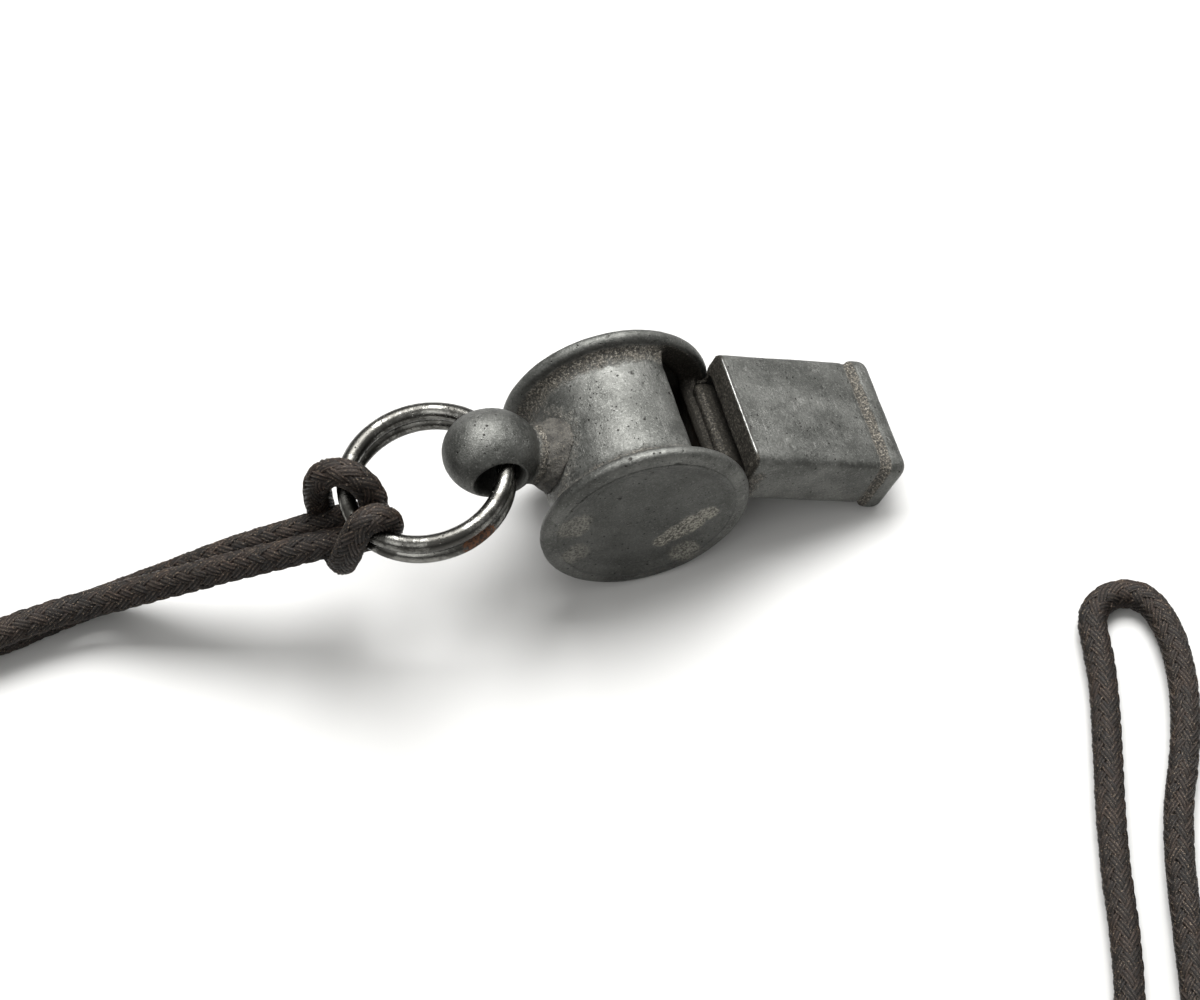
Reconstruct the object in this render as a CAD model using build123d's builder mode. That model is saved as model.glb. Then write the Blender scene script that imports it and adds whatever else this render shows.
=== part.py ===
"""Cast pea whistle on a split ring, with a round braided neck lanyard.

Row frame: +Z up, z = 0 is the surface it lies on, +X towards the mouthpiece, +Y along the drum's axis.
The whistle rests on the rims of its drum and on its lip, so the whistle itself slopes forward.
"""
import math
import os

from build123d import *

os.makedirs("parts", exist_ok=True)

# ---------------------------------------------------------------- driving dimensions, mm and degrees
RIM_RADIUS = 11.5          # rims of the drum, the largest radius
DRUM_HALF_WIDTH = 8.55     # centre of the drum to the outer face of a rim
RIM_WIDTH = 1.6            # thickness of a rim along the drum's axis
RIM_ROUND = 0.6
BARREL_RADIUS = 9.2        # barrel, at the middle of its width
BARREL_FLAT = 4.6          # half width of the straight part, before it flares to the rims
FLARE_RADIUS = 10.3        # barrel where it meets a rim
FLARE_POINT = (9.45, 6.05) # radius and place of a point on the flare
CHAMBER_RADIUS = 8.0
CHAMBER_HALF_WIDTH = 7.2
DISC_RADIUS = 8.75         # end discs, let into the rims
DISC_SEAT_RADIUS = 9.05
DISC_EDGE = 8.3            # outer face of a disc at its edge, from the drum's centre
DISC_CROWN = 8.5           # the same at its middle
SEAM_DEPTH = 0.15          # how far the soldered seam lies below the disc's edge
CUT_MARGIN = 2.0           # how far a cut runs past the metal

WINDOW_REAR = 2.1          # the edge that the air strikes, ahead of the drum's axis
EDGE_TOP = 8.85            # height of that edge above the axis
EDGE_FOOT = (3.6, 6.6)     # foot of the bevel below it: ahead, above
WINDOW_FOOT = (6.5, 4.2)   # lowest point that the cut reaches in the barrel's wall
WINDOW_FRONT = 9.3         # rear wall of the mouthpiece
FLOOR_TOP = 5.4            # top of the windway's floor, above the drum's axis
FLOOR_REAR = 8.1
FLOOR_CHAMFER = (0.45, 0.25)
SLOT_TOP = 6.7             # upper side of the slot that the air leaves by
SLOT_LENGTH = 3.0          # parallel stretch of the slot, ahead of the window
FLOOR_END = 4.0            # from the floor's thin end to the lip
FLOOR_THIN = 0.35

LIP_X = 28.3               # end of the mouthpiece, ahead of the drum's axis
MOUTH_WIDTH = 14.9
MOUTH_TOP = 9.64
MOUTH_BOTTOM = 2.64
MOUTH_CORNER = 1.1
MOUTH_WALL = 1.05
SOLDER_DEPTH = 1.6         # into the barrel's surface, before it is cut to fit
SOLDER_DROP = 2.2
SOLDER_REACH = 1.5         # along the mouthpiece's underside
SOLDER_HOLLOW = (0.35, 0.75)   # a point on its hollow face: ahead of the barrel, below the underside
SOLDER_TAIL = 0.3
LIP_INNER_TOP = 8.5
LIP_INNER_BOTTOM = 3.75
BEAD_LENGTH = 2.6
BEAD_PROUD = 0.28
BEAD_DROP = 0.6            # how far the bead stands below the mouthpiece's underside
BEAD_ROUND = 1.2
HEEL_LENGTH = 2.5          # half length of the mouthpiece's heel, down against the barrel
HEEL_INSET = 0.25

LUG_X = -15.9              # centre of the lug's ball, from the drum's axis
LUG_Z = -0.3
LUG_HALF_LENGTH = 5.3
LUG_RADIUS = 4.66
LUG_HOLE_RADIUS = 2.45
LUG_COUNTERSINK = 0.75
LUG_MOUTH_DEPTH = 1.5
NECK_RADIUS = 3.1
NECK_FOOT_RADIUS = 5.1
NECK_FOOT_LENGTH = 2.0
COLLAR_POINT = (0.75, 0.35)    # a point on the solder collar: beyond the barrel, proud of the neck

PEA_RADIUS = 4.3
PEA_CLEARANCE = 0.15

RING_RADIUS = 8.42         # centre line of the wire
WIRE_RADIUS = 0.94
WIRE_PITCH = 1.78          # between the two turns
RING_SHIFT = 0.95          # wire's centre line ahead of the hole's centre, for its curve
RING_DROOP = 2.4
RING_YAW = 9.5
RING_ROLL = 3.0
WIRE_WELD = 0.6            # width of the strip that joins the two turns
HITCH_CLEARANCE = 0.08
HITCH_SIZE = (9.0, 10.6, 12.6)
HITCH_ROUND = 3.2
HITCH_OUT = 0.3            # its middle, beyond the wire's centre line
HITCH_DROP = 1.5           # its middle, below the ring's own plane

CORD_DIAMETER = 3.2
CORD_RADIUS = CORD_DIAMETER / 2
COIL_CENTRE = (-98.0, -12.0)
COIL_RADIUS = 18.0         # between the two strands that lie side by side
COIL_TURN_GAP = 3.3
COIL_ROUND = 1.1
RUN_SHARE = 0.45           # share of the shorter run that a corner's arc takes up

# The drum stands on its rims, and the whistle tips forward until the lip's bead meets the surface.
bead_x = LIP_X - BEAD_ROUND
bead_z = MOUTH_BOTTOM - BEAD_DROP + BEAD_ROUND
rest_tilt = math.asin((RIM_RADIUS - BEAD_ROUND) / math.hypot(bead_x, bead_z)) + math.atan2(bead_z, bead_x)
forward = Vector(math.cos(rest_tilt), 0, -math.sin(rest_tilt))
upward = Vector(math.sin(rest_tilt), 0, math.cos(rest_tilt))
across = Vector(0, 1, 0)

# The origin is under the middle of the whistle and its ring.
DRUM_X = 1.056
DRUM_Y = 1.0
drum_centre = Vector(DRUM_X, DRUM_Y, RIM_RADIUS)

side_plane = Plane(origin=drum_centre, x_dir=forward, z_dir=-across)      # (ahead, up), normal towards -Y
drum_plane = Plane(origin=drum_centre, x_dir=forward, z_dir=upward)       # (ahead, across), normal up
drum_axis = Axis(drum_centre, across)


def in_whistle(ahead, up, over=0.0):
    """A point given ahead of, above and beside the drum's centre."""
    return drum_centre + forward * ahead + upward * up + across * over


def lengthways_plane(ahead):
    """A plane square to the mouthpiece, with (across, up) as its own x and y."""
    return Plane(origin=in_whistle(ahead, 0), x_dir=across, z_dir=forward)


# ---------------------------------------------------------------- drum
RIM_INNER = DRUM_HALF_WIDTH - RIM_WIDTH

# Outer form of the drum, solid: the barrel, its flares and its two rims.
with BuildPart() as drum_form:
    with BuildSketch(drum_plane):
        with BuildLine():
            Line((BARREL_RADIUS, 0), (BARREL_RADIUS, BARREL_FLAT))
            ThreePointArc(
                (BARREL_RADIUS, BARREL_FLAT),
                FLARE_POINT,
                (FLARE_RADIUS, RIM_INNER),
            )
            Polyline(
                (FLARE_RADIUS, RIM_INNER),
                (RIM_RADIUS, RIM_INNER),
                (RIM_RADIUS, DRUM_HALF_WIDTH),
                (0, DRUM_HALF_WIDTH),
                (0, 0),
                (BARREL_RADIUS, 0),
            )
        make_face()
        mirror(about=Plane.XZ)
    revolve(axis=drum_axis)
    round_edges = drum_form.edges().filter_by(GeomType.CIRCLE)
    rim_edges = round_edges.filter_by(lambda edge: abs(edge.radius - RIM_RADIUS) < 0.01)
    fillet(rim_edges, RIM_ROUND)

with BuildPart() as barrel:
    add(drum_form.part)
    # Chamber, with a seat for an end disc at each side.
    with BuildSketch(side_plane):
        Circle(CHAMBER_RADIUS)
    extrude(amount=DRUM_HALF_WIDTH + CUT_MARGIN, both=True, mode=Mode.SUBTRACT)
    for side in (-1, 1):
        seat_centre = drum_centre + across * (side * CHAMBER_HALF_WIDTH)
        seat = Plane(origin=seat_centre, x_dir=forward, z_dir=across * side)
        with BuildSketch(seat):
            Circle(DISC_SEAT_RADIUS)
        extrude(amount=DRUM_HALF_WIDTH, mode=Mode.SUBTRACT)
    # Window between the rims, from the sharp edge forwards.
    with BuildSketch(side_plane):
        with BuildLine():
            Polyline(
                (WINDOW_REAR, RIM_RADIUS + CUT_MARGIN),
                (WINDOW_REAR, EDGE_TOP),
                EDGE_FOOT,
                WINDOW_FOOT,
                (FLOOR_REAR, FLOOR_TOP),
                (RIM_RADIUS + CUT_MARGIN, FLOOR_TOP),
                (RIM_RADIUS + CUT_MARGIN, RIM_RADIUS + CUT_MARGIN),
                close=True,
            )
        make_face()
    extrude(amount=RIM_INNER, both=True, mode=Mode.SUBTRACT)
barrel.part.label = "barrel"
export_step(barrel.part, "parts/barrel.step")

# A disc's outer face is a shallow dome.
dome_rise = DISC_CROWN - DISC_EDGE
dome_radius = (DISC_RADIUS**2 + dome_rise**2) / (2 * dome_rise)


def end_disc(side, name):
    """A slightly domed disc let into a rim, and the soldered seam around it."""
    seat = Plane(origin=drum_centre + across * (side * CHAMBER_HALF_WIDTH), x_dir=forward, z_dir=across * side)
    with BuildPart() as disc:
        with BuildSketch(seat):
            Circle(DISC_RADIUS)
        extrude(amount=DISC_CROWN - CHAMBER_HALF_WIDTH)
        with Locations(drum_centre + across * (side * (DISC_CROWN - dome_radius))):
            Sphere(dome_radius, mode=Mode.INTERSECT)
    disc.part.label = f"{name}_end_disc"
    export_step(disc.part, f"parts/{name}_end_disc.step")

    with BuildPart() as seam:
        with BuildSketch(seat):
            Circle(DISC_SEAT_RADIUS)
            Circle(DISC_RADIUS, mode=Mode.SUBTRACT)
        extrude(amount=DISC_EDGE - SEAM_DEPTH - CHAMBER_HALF_WIDTH)
    seam.part.label = f"{name}_disc_seam"
    export_step(seam.part, f"parts/{name}_disc_seam.step")


end_disc(-1, "right")
end_disc(1, "left")

# ---------------------------------------------------------------- mouthpiece
mouth_middle = (MOUTH_TOP + MOUTH_BOTTOM) / 2
mouth_height = MOUTH_TOP - MOUTH_BOTTOM
inner_half_width = MOUTH_WIDTH / 2 - MOUTH_WALL
bead_height = mouth_height + BEAD_PROUD + BEAD_DROP
bead_middle = mouth_middle + (BEAD_PROUD - BEAD_DROP) / 2

with BuildPart() as mouthpiece:
    with BuildSketch(lengthways_plane(WINDOW_FRONT)):
        with Locations((0, mouth_middle)):
            RectangleRounded(MOUTH_WIDTH, mouth_height, MOUTH_CORNER)
    extrude(amount=LIP_X - BEAD_LENGTH / 2 - WINDOW_FRONT)
    # The underside runs back to the barrel, below the level of the windway's floor.
    with BuildSketch(side_plane):
        with Locations((WINDOW_FRONT, (FLOOR_TOP + MOUTH_BOTTOM) / 2)):
            Rectangle(2 * HEEL_LENGTH, FLOOR_TOP - MOUTH_BOTTOM)
    extrude(amount=MOUTH_WIDTH / 2 - HEEL_INSET, both=True)
    add(drum_form.part, mode=Mode.SUBTRACT)
    # Lip bead, rounded all over.
    with BuildSketch(lengthways_plane(LIP_X - BEAD_LENGTH)):
        with Locations((0, bead_middle)):
            RectangleRounded(MOUTH_WIDTH + 2 * BEAD_PROUD, bead_height, MOUTH_CORNER + BEAD_PROUD)
    bead = extrude(amount=BEAD_LENGTH, mode=Mode.PRIVATE)
    bead_end = bead.edges().group_by(Axis(drum_centre, forward))[-1]
    add(bead.fillet(BEAD_ROUND, bead_end))
    # Airway: wide at the lip, a slot at the window.
    with BuildSketch(side_plane):
        with BuildLine():
            Polyline(
                (WINDOW_FRONT - 2 * HEEL_LENGTH, SLOT_TOP),
                (WINDOW_FRONT + SLOT_LENGTH, SLOT_TOP),
                (LIP_X, LIP_INNER_TOP),
                (LIP_X, LIP_INNER_BOTTOM),
                (WINDOW_FRONT - 2 * HEEL_LENGTH, LIP_INNER_BOTTOM),
                close=True,
            )
        make_face()
    extrude(amount=inner_half_width, both=True, mode=Mode.SUBTRACT)
mouthpiece.part.label = "mouthpiece"
export_step(mouthpiece.part, "parts/mouthpiece.step")

# The windway's floor: a wedge in the mouthpiece that narrows the airway to its slot.
with BuildPart() as windway_floor:
    with BuildSketch(side_plane):
        with BuildLine():
            Polyline(
                (FLOOR_REAR, LIP_INNER_BOTTOM),
                (FLOOR_REAR, FLOOR_TOP - FLOOR_CHAMFER[1]),
                (FLOOR_REAR + FLOOR_CHAMFER[0], FLOOR_TOP),
                (WINDOW_FRONT + SLOT_LENGTH, FLOOR_TOP),
                (LIP_X - FLOOR_END, LIP_INNER_BOTTOM + FLOOR_THIN),
                (LIP_X - FLOOR_END, LIP_INNER_BOTTOM),
                close=True,
            )
        make_face()
    extrude(amount=inner_half_width, both=True)
    add(drum_form.part, mode=Mode.SUBTRACT)
windway_floor.part.label = "windway_floor"
export_step(windway_floor.part, "parts/windway_floor.step")

# A fillet of solder in the corner under the mouthpiece, against the barrel.
with BuildPart() as mouthpiece_solder:
    with BuildSketch(side_plane):
        with BuildLine():
            Polyline(
                (BARREL_RADIUS - SOLDER_DEPTH, MOUTH_BOTTOM),
                (BARREL_RADIUS + SOLDER_REACH, MOUTH_BOTTOM),
                (BARREL_RADIUS + SOLDER_HOLLOW[0], MOUTH_BOTTOM - SOLDER_HOLLOW[1]),
                (BARREL_RADIUS - SOLDER_TAIL, MOUTH_BOTTOM - SOLDER_DROP),
                (BARREL_RADIUS - SOLDER_DEPTH, MOUTH_BOTTOM - SOLDER_DROP),
                close=True,
            )
        make_face()
    extrude(amount=inner_half_width, both=True)
    add(drum_form.part, mode=Mode.SUBTRACT)
mouthpiece_solder.part.label = "mouthpiece_solder"
export_step(mouthpiece_solder.part, "parts/mouthpiece_solder.step")

# ---------------------------------------------------------------- lug
hole_centre = in_whistle(LUG_X, LUG_Z)
hole_plane = Plane(origin=hole_centre, x_dir=forward, z_dir=-across)
lug_axis = Axis(hole_centre, forward)

with BuildPart() as lug:
    # Egg-shaped ball, turned about the whistle's length.
    with BuildSketch(hole_plane):
        with BuildLine():
            EllipticalCenterArc((0, 0), LUG_HALF_LENGTH, LUG_RADIUS, start_angle=0, arc_size=180)
            Line((-LUG_HALF_LENGTH, 0), (LUG_HALF_LENGTH, 0))
        make_face()
    revolve(axis=lug_axis)
    # Neck, into the barrel.
    with BuildSketch(Plane(origin=hole_centre, x_dir=across, z_dir=forward)):
        Circle(NECK_RADIUS)
    extrude(amount=-LUG_X - CHAMBER_RADIUS)
    add(drum_form.part, mode=Mode.SUBTRACT)
    # Hole for the ring, along the drum's axis, with a countersunk mouth at each side.
    with BuildSketch(hole_plane):
        Circle(LUG_HOLE_RADIUS)
    extrude(amount=LUG_RADIUS + CUT_MARGIN, both=True, mode=Mode.SUBTRACT)
    for side in (-1, 1):
        mouth_centre = hole_centre + across * (side * (LUG_RADIUS - LUG_MOUTH_DEPTH))
        mouth = Plane(origin=mouth_centre, x_dir=forward, z_dir=across * side)
        with BuildSketch(mouth):
            Circle(LUG_HOLE_RADIUS)
        with BuildSketch(mouth.offset(CUT_MARGIN)):
            Circle(LUG_HOLE_RADIUS + 2 * LUG_COUNTERSINK)
        loft(mode=Mode.SUBTRACT)
lug.part.label = "lug"
export_step(lug.part, "parts/lug.step")

# A rough collar of solder round the foot of the neck.
with BuildPart() as lug_solder:
    with BuildSketch(side_plane):
        with BuildLine():
            ThreePointArc(
                (-BARREL_RADIUS - NECK_FOOT_LENGTH, LUG_Z + NECK_RADIUS),
                (-BARREL_RADIUS - COLLAR_POINT[0], LUG_Z + NECK_RADIUS + COLLAR_POINT[1]),
                (-BARREL_RADIUS + SOLDER_DEPTH, LUG_Z + NECK_FOOT_RADIUS),
            )
            Polyline(
                (-BARREL_RADIUS + SOLDER_DEPTH, LUG_Z + NECK_FOOT_RADIUS),
                (-BARREL_RADIUS + SOLDER_DEPTH, LUG_Z + NECK_RADIUS),
                (-BARREL_RADIUS - NECK_FOOT_LENGTH, LUG_Z + NECK_RADIUS),
            )
        make_face()
    revolve(axis=lug_axis)
    add(drum_form.part, mode=Mode.SUBTRACT)
    add(lug.part, mode=Mode.SUBTRACT)
lug_solder.part.label = "lug_solder"
export_step(lug_solder.part, "parts/lug_solder.step")

# ---------------------------------------------------------------- pea
# It lies at the lowest place in the chamber.
pea_orbit = CHAMBER_RADIUS - PEA_RADIUS - PEA_CLEARANCE
with BuildPart(Plane(origin=drum_centre - Vector(0, 0, pea_orbit))) as pea:
    Sphere(PEA_RADIUS)
pea.part.label = "cork_pea"
export_step(pea.part, "parts/cork_pea.step")

# ---------------------------------------------------------------- split ring
yaw = math.radians(RING_YAW)
droop = math.radians(RING_DROOP)
outward = Vector(-math.cos(droop) * math.cos(yaw), -math.cos(droop) * math.sin(yaw), -math.sin(droop))
level_side = Vector(-math.sin(yaw), math.cos(yaw), 0)
ring_side = level_side.rotate(Axis((0, 0, 0), outward), RING_ROLL)
ring_up = ring_side.cross(outward)
ring_centre = hole_centre + outward * (RING_RADIUS - RING_SHIFT)
ring_plane = Plane(origin=ring_centre, x_dir=outward, z_dir=ring_up)
ring_axis = Axis(ring_centre, ring_up)
ring_section = Plane(origin=ring_centre, x_dir=outward, z_dir=ring_plane.y_dir)   # own y runs down the ring's axis


def double_wire(wire_radius):
    """Section of the two turns of wire, one on the other."""
    with BuildSketch(ring_section) as section:
        with Locations((RING_RADIUS, -WIRE_PITCH / 2), (RING_RADIUS, WIRE_PITCH / 2)):
            Circle(wire_radius)
        with Locations((RING_RADIUS, 0)):
            Rectangle(WIRE_WELD, WIRE_PITCH)
    return section.sketch


with BuildPart() as split_ring:
    revolve(double_wire(WIRE_RADIUS), axis=ring_axis)
split_ring.part.label = "split_ring"
export_step(split_ring.part, "parts/split_ring.step")

# ---------------------------------------------------------------- lanyard
# The cord's hitch on the ring: the plain outer form of the turns, with a way through for the wire.
hitch_centre = ring_centre + outward * (RING_RADIUS + HITCH_OUT) - ring_up * HITCH_DROP
hitch_plane = Plane(origin=hitch_centre, x_dir=outward, z_dir=ring_up)
with BuildPart(hitch_plane) as lanyard_hitch:
    Box(*HITCH_SIZE)
    fillet(lanyard_hitch.edges(), HITCH_ROUND)
    revolve(double_wire(WIRE_RADIUS + HITCH_CLEARANCE), axis=ring_axis, mode=Mode.SUBTRACT)
lanyard_hitch.part.label = "lanyard_hitch"
export_step(lanyard_hitch.part, "parts/lanyard_hitch.step")


def cord_tube(name, points):
    """A tube of cord along straight runs joined by the largest arcs that the runs allow."""
    corners = [Vector(*p) for p in points]
    radii = []
    for before, here, after in zip(corners, corners[1:], corners[2:]):
        turn = math.radians((here - before).get_angle(after - here))
        shorter = min((here - before).length, (after - here).length)
        radii.append(RUN_SHARE * shorter / math.tan(turn / 2))
    with BuildPart() as tube:
        with BuildLine() as route:
            FilletPolyline(*corners, radius=radii)
        start = route.wires()[0]
        with BuildSketch(Plane(origin=start @ 0, z_dir=start % 0)):
            Circle(CORD_RADIUS)
        sweep(transition=Transition.ROUND)
    length = start.length
    ratio = tube.part.volume / (math.pi * CORD_RADIUS**2 * length)
    print(f"{name}: length {length:.1f}, volume ratio {ratio:.4f}, radii", [round(r, 1) for r in radii])
    tube.part.label = name
    export_step(tube.part, f"parts/{name}.step")
    return length


# Two legs run from the hitch down to the surface, and on to the coil.
LEG_FAR = [
    (-35.6, 1.8, 13.6),
    (-41.5, 3.6, 10.6),
    (-47.5, 5.9, 6.0),
    (-54.0, 8.0, 2.3),
    (-61.5, 8.4, 1.65),
    (-69.0, 8.1, 1.6),
    (-77.5, 8.9, 1.65),
    (-87.0, 8.4, 1.6),
    (-94.0, 7.9, 1.6),
]
LEG_NEAR = [
    (-36.0, -1.6, 13.4),
    (-41.8, 0.3, 9.6),
    (-47.8, 2.7, 5.1),
    (-54.2, 4.7, 2.0),
    (-61.5, 4.9, 1.6),
    (-69.0, 4.6, 1.65),
    (-77.5, 5.3, 1.6),
    (-87.0, 5.0, 1.65),
    (-94.0, 4.5, 1.6),
]
# The far end of the loop: out of the coil, along the near side, and round the fold at the right.
BIGHT = [
    (-98.0, -31.6, 1.6),
    (-87.0, -33.4, 1.65),
    (-78.0, -38.2, 1.6),
    (-69.0, -43.2, 1.65),
    (-59.0, -48.4, 1.6),
    (-47.0, -54.8, 1.65),
    (-36.0, -61.6, 1.6),
    (-24.0, -69.5, 1.65),
    (-10.0, -79.0, 1.6),
    (5.0, -87.0, 1.65),
    (19.0, -87.0, 1.6),
    (29.0, -79.0, 1.65),
    (33.5, -66.0, 1.6),
    (36.3, -53.5, 1.65),
    (39.7, -43.0, 1.6),
    (42.0, -35.6, 1.65),
    (43.0, -30.6, 1.6),
    (43.5, -27.3, 1.65),
    (45.5, -25.5, 1.6),
    (48.2, -25.5, 1.65),
    (50.3, -27.3, 1.6),
    (50.9, -31.6, 1.65),
    (50.1, -37.6, 1.6),
    (47.6, -44.8, 1.65),
    (43.3, -53.0, 1.6),
    (39.7, -66.5, 1.65),
    (36.0, -81.0, 1.6),
    (25.0, -91.5, 1.65),
    (9.0, -93.8, 1.6),
    (-3.0, -90.0, 1.65),
    (-13.5, -83.6, 1.6),
    (-26.0, -74.4, 1.65),
    (-38.0, -66.0, 1.6),
    (-49.0, -58.7, 1.65),
    (-61.0, -52.3, 1.6),
    (-71.0, -47.1, 1.65),
    (-80.0, -42.1, 1.6),
    (-88.5, -37.4, 1.65),
    (-98.0, -35.0, 1.6),
]
lengths = [
    cord_tube("lanyard_leg_far", LEG_FAR),
    cord_tube("lanyard_leg_near", LEG_NEAR),
    cord_tube("lanyard_bight", BIGHT),
]

# The put-away coil: two strands side by side, one and a half turns.
coil_outer = COIL_RADIUS + COIL_TURN_GAP / 2 + CORD_RADIUS
coil_inner = COIL_RADIUS - COIL_TURN_GAP / 2 - CORD_RADIUS
coil_height = 2 * CORD_DIAMETER
with BuildPart() as lanyard_coil:
    with BuildSketch(Plane(origin=(*COIL_CENTRE, 0))):
        Circle(coil_outer)
        Circle(coil_inner, mode=Mode.SUBTRACT)
    extrude(amount=coil_height)
    fillet(lanyard_coil.edges(), COIL_ROUND)
lanyard_coil.part.label = "lanyard_coil"
export_step(lanyard_coil.part, "parts/lanyard_coil.step")

print(f"rest tilt {math.degrees(rest_tilt):.2f}, hole centre {hole_centre}, ring centre {ring_centre}")
print(f"ring axis {ring_up}, ring outward {outward}, pea centre z {RIM_RADIUS - pea_orbit:.2f}")
print(f"cord in tubes {sum(lengths):.0f}")
whistle_parts = [barrel, mouthpiece, lug, split_ring]
low_x = min(p.part.bounding_box().min.X for p in whistle_parts)
high_x = max(p.part.bounding_box().max.X for p in whistle_parts)
low_z = min(p.part.bounding_box().min.Z for p in whistle_parts)
print(f"x {low_x:.3f} to {high_x:.3f}, middle {(low_x + high_x) / 2:.3f}, lowest z {low_z:.3f}")
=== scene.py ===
"""Looks of the cast pea whistle, its split ring and its braided lanyard. Lengths below are in millimetres."""

import math

import bmesh
import bpy
import numpy as np
from mathutils import Matrix, Vector


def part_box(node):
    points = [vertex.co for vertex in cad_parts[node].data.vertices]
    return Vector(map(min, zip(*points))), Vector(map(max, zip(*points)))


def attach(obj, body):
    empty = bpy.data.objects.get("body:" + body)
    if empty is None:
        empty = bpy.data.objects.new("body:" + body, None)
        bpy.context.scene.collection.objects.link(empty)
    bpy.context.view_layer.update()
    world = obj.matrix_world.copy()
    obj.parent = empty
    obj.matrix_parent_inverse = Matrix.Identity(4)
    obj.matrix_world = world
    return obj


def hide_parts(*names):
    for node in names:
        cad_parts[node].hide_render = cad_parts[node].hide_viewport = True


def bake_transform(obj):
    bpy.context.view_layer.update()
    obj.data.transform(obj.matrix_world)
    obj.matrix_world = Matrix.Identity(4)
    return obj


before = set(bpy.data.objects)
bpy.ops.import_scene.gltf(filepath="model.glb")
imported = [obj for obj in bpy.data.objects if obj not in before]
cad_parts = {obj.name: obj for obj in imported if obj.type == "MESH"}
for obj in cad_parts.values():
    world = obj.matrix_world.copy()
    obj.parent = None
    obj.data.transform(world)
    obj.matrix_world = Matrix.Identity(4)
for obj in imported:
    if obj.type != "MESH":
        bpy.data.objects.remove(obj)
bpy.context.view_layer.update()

MM = 0.001

# ---------------------------------------------------------------- dimensions shared with part.py
DRUM_CENTRE = np.array([1.056, 1.0, 11.5])
RIM_RADIUS = 11.5
LIP_X = 28.3
MOUTH_TOP = 9.64
MOUTH_BOTTOM = 2.64
BEAD_LENGTH = 2.6
BEAD_ROUND = 1.2
BEAD_DROP = 0.6
WINDOW_FRONT = 9.3
DISC_RADIUS = 8.75
DISC_SEAT_RADIUS = 9.05
DISC_EDGE = 8.3
LUG_X = -15.9
LUG_Z = -0.3
PEA_RADIUS = 4.3
RING_RADIUS = 8.42
WIRE_RADIUS = 0.94
WIRE_PITCH = 1.78
CORD_DIAMETER = 3.2

bead_x = LIP_X - BEAD_ROUND
bead_z = MOUTH_BOTTOM - BEAD_DROP + BEAD_ROUND
tilt = math.asin((RIM_RADIUS - BEAD_ROUND) / math.hypot(bead_x, bead_z)) + math.atan2(bead_z, bead_x)
FORWARD = np.array([math.cos(tilt), 0.0, -math.sin(tilt)])
UPWARD = np.array([math.sin(tilt), 0.0, math.cos(tilt)])
RING_CENTRE = np.array([-20.358, -0.232, 18.631])
RING_UP = np.array([-0.04988, 0.04472, 0.99775])
RING_OUT = np.array([-0.98542, -0.16490, -0.04188])
RING_SIDE = np.cross(RING_OUT, RING_UP)
RUST_ANGLE = math.radians(-103)


def in_whistle(ahead, up, over=0.0):
    """A point given ahead of, above and beside the drum's centre."""
    return DRUM_CENTRE + FORWARD * ahead + UPWARD * up + np.array([0.0, over, 0.0])


def whistle_coordinates(points):
    """How far points lie ahead of, above and beside the drum's centre."""
    rel = points - DRUM_CENTRE
    return rel @ FORWARD, rel @ UPWARD, rel[:, 1]


# ---------------------------------------------------------------- camera, floor and light
camera_data = bpy.data.cameras.new("camera")
camera_data.lens = 108.0
camera_data.sensor_width = 36.0
camera_data.clip_start = 0.01
camera_data.clip_end = 10.0
camera = bpy.data.objects.new("camera", camera_data)
bpy.context.scene.collection.objects.link(camera)
right = Vector((0.96036021, -0.27221406, -0.06006478))
down = Vector((-0.26023531, -0.79823435, -0.54323062))
ahead_of_camera = Vector((0.09992925, 0.53732805, -0.83743221))
turn = Matrix((right, -down, -ahead_of_camera)).transposed()
camera.matrix_world = Matrix.Translation(Vector((-40.864, -207.40, 329.41)) * MM) @ turn.to_4x4()
bpy.context.scene.camera = camera
bpy.context.scene.view_settings.view_transform = "Standard"

floor_mesh = bpy.data.meshes.new("floor")
half = 1.5
floor_mesh.from_pydata([(-half, -half, 0), (half, -half, 0), (half, half, 0), (-half, half, 0)], [], [(0, 1, 2, 3)])
floor = bpy.data.objects.new("floor", floor_mesh)
bpy.context.scene.collection.objects.link(floor)


def area_light(name, place, aim, size, power, colour=(1.0, 1.0, 1.0)):
    """A square softbox, given its place and aim in metres."""
    data = bpy.data.lights.new(name, "AREA")
    data.shape = "SQUARE"
    data.size = size
    data.energy = power
    data.color = colour
    light = bpy.data.objects.new(name, data)
    bpy.context.scene.collection.objects.link(light)
    light.location = place
    light.rotation_mode = "QUATERNION"
    light.rotation_quaternion = (Vector(aim) - Vector(place)).to_track_quat("-Z", "Y")
    return light


area_light("key", (0.08, 0.22, 0.54), (0.0, 0.0, 0.01), 0.36, 7.0)
area_light("side", (0.30, 0.20, 0.50), (0.0, 0.0, 0.01), 0.34, 1.8)
area_light("fill", (-0.50, -0.40, 0.60), (0.0, 0.0, 0.01), 0.50, 1.3)


def studio_world():
    """A room that is pale overhead and darker towards the horizon."""
    world = bpy.data.worlds.new("studio")
    world.use_nodes = True
    tree = world.node_tree
    direction = tree.nodes.new("ShaderNodeTexCoord")
    parts = tree.nodes.new("ShaderNodeSeparateXYZ")
    height = tree.nodes.new("ShaderNodeMapRange")
    height.interpolation_type = "SMOOTHSTEP"
    height.inputs["From Min"].default_value = 0.05
    height.inputs["From Max"].default_value = 0.85
    height.inputs["To Min"].default_value = 0.13
    height.inputs["To Max"].default_value = 0.80
    tree.links.new(direction.outputs["Generated"], parts.inputs[0])
    tree.links.new(parts.outputs["Z"], height.inputs["Value"])
    background = tree.nodes["Background"]
    background.inputs["Color"].default_value = (1.0, 1.0, 0.985, 1.0)
    tree.links.new(height.outputs["Result"], background.inputs["Strength"])
    bpy.context.scene.world = world


studio_world()


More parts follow.
